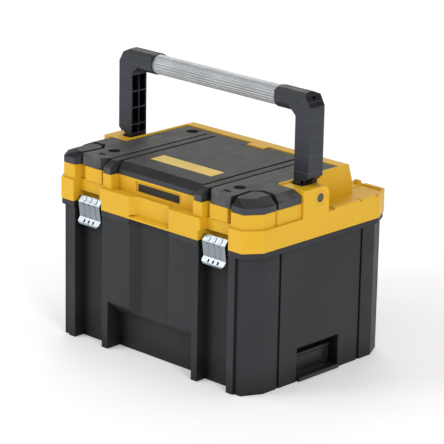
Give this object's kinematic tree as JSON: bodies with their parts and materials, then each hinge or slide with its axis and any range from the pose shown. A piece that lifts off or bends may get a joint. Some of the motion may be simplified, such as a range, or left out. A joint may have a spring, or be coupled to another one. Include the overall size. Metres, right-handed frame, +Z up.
{
  "type": "toolbox with tray",
  "caption": "Stackable moulded toolbox with a hinged lid, fold-back carry handle, sheet-metal front latches and a lift-out compartment tray.",
  "frame": {"origin": "centre of the footprint on the floor", "axes": "+X to the right seen from the front, -Y towards the latches, +Z up"},
  "size_m": [0.44, 0.332, 0.4561],
  "materials": {
    "base_black": "fine textured moulding",
    "lid_yellow": "satin moulding",
    "cover_black": "fine textured moulding",
    "bumper_black": "soft matte",
    "clip_black": "satin moulding",
    "handle_black": "satin moulding",
    "tray_black": "satin moulding",
    "tray_grip": "satin moulding",
    "divider_black": "satin moulding",
    "label_black": "gloss",
    "label_yellow": "satin print",
    "latch_metal": "zinc plated sheet",
    "grip_aluminium": "satin anodised",
    "pin_steel": "plain",
    "pivot_black": "black oxide",
    "screw_dark": "zinc, darkened"
  },
  "bodies": {
    "base": {"base_shell": "base_black", "hinge_pins": "pin_steel", "side_clip_pins": "pin_steel"},
    "lid": {"lid_shell": "lid_yellow", "top_cover": "cover_black", "corner_bumper_left": "bumper_black", "corner_bumper_right": "bumper_black", "front_label_plate": "label_black", "top_label_plate": "label_yellow", "cover_screws": "screw_dark", "handle_pivot_pins": "pivot_black", "latch_pins": "pin_steel"},
    "handle": {"handle_arm_left": "handle_black", "handle_arm_right": "handle_black", "grip_tube": "grip_aluminium", "grip_screws": "pin_steel"},
    "tray": {"tray_body": "tray_black", "tray_handle_bar": "tray_grip", "tray_handle_screws": "pin_steel", "tray_dividers": "divider_black"},
    "latch_l": {"latch_left": "latch_metal"},
    "latch_r": {"latch_right": "latch_metal"},
    "clip_l": {"side_clip_left": "clip_black"},
    "clip_r": {"side_clip_right": "clip_black"}
  },
  "joints": [
    {"name": "lid_hinge", "type": "hinge", "parent": "base", "child": "lid", "pos_m": [0, 0.1615, 0.2295], "axis": [-1, 0, 0], "range_deg": [0, 100]},
    {"name": "handle_fold", "type": "hinge", "parent": "lid", "child": "handle", "pos_m": [0, -0.0136, 0.2934], "axis": [-1, 0, 0], "range_deg": [0, 90]},
    {"name": "tray_lift", "type": "slide", "parent": "base", "child": "tray", "axis": [0, 0, 1], "range_m": [0, 0.055]},
    {"name": "latch_left_pivot", "type": "hinge", "parent": "lid", "child": "latch_l", "pos_m": [-0.138, -0.1505, 0.2365], "axis": [-1, 0, 0], "range_deg": [0, 85]},
    {"name": "latch_right_pivot", "type": "hinge", "parent": "lid", "child": "latch_r", "pos_m": [0.138, -0.1505, 0.2365], "axis": [-1, 0, 0], "range_deg": [0, 85]},
    {"name": "clip_left_pivot", "type": "hinge", "parent": "base", "child": "clip_l", "pos_m": [-0.1962, -0.0028, 0.036], "axis": [0, 1, 0], "range_deg": [0, 25]},
    {"name": "clip_right_pivot", "type": "hinge", "parent": "base", "child": "clip_r", "pos_m": [0.1962, -0.0028, 0.036], "axis": [0, -1, 0], "range_deg": [0, 25]}
  ]
}
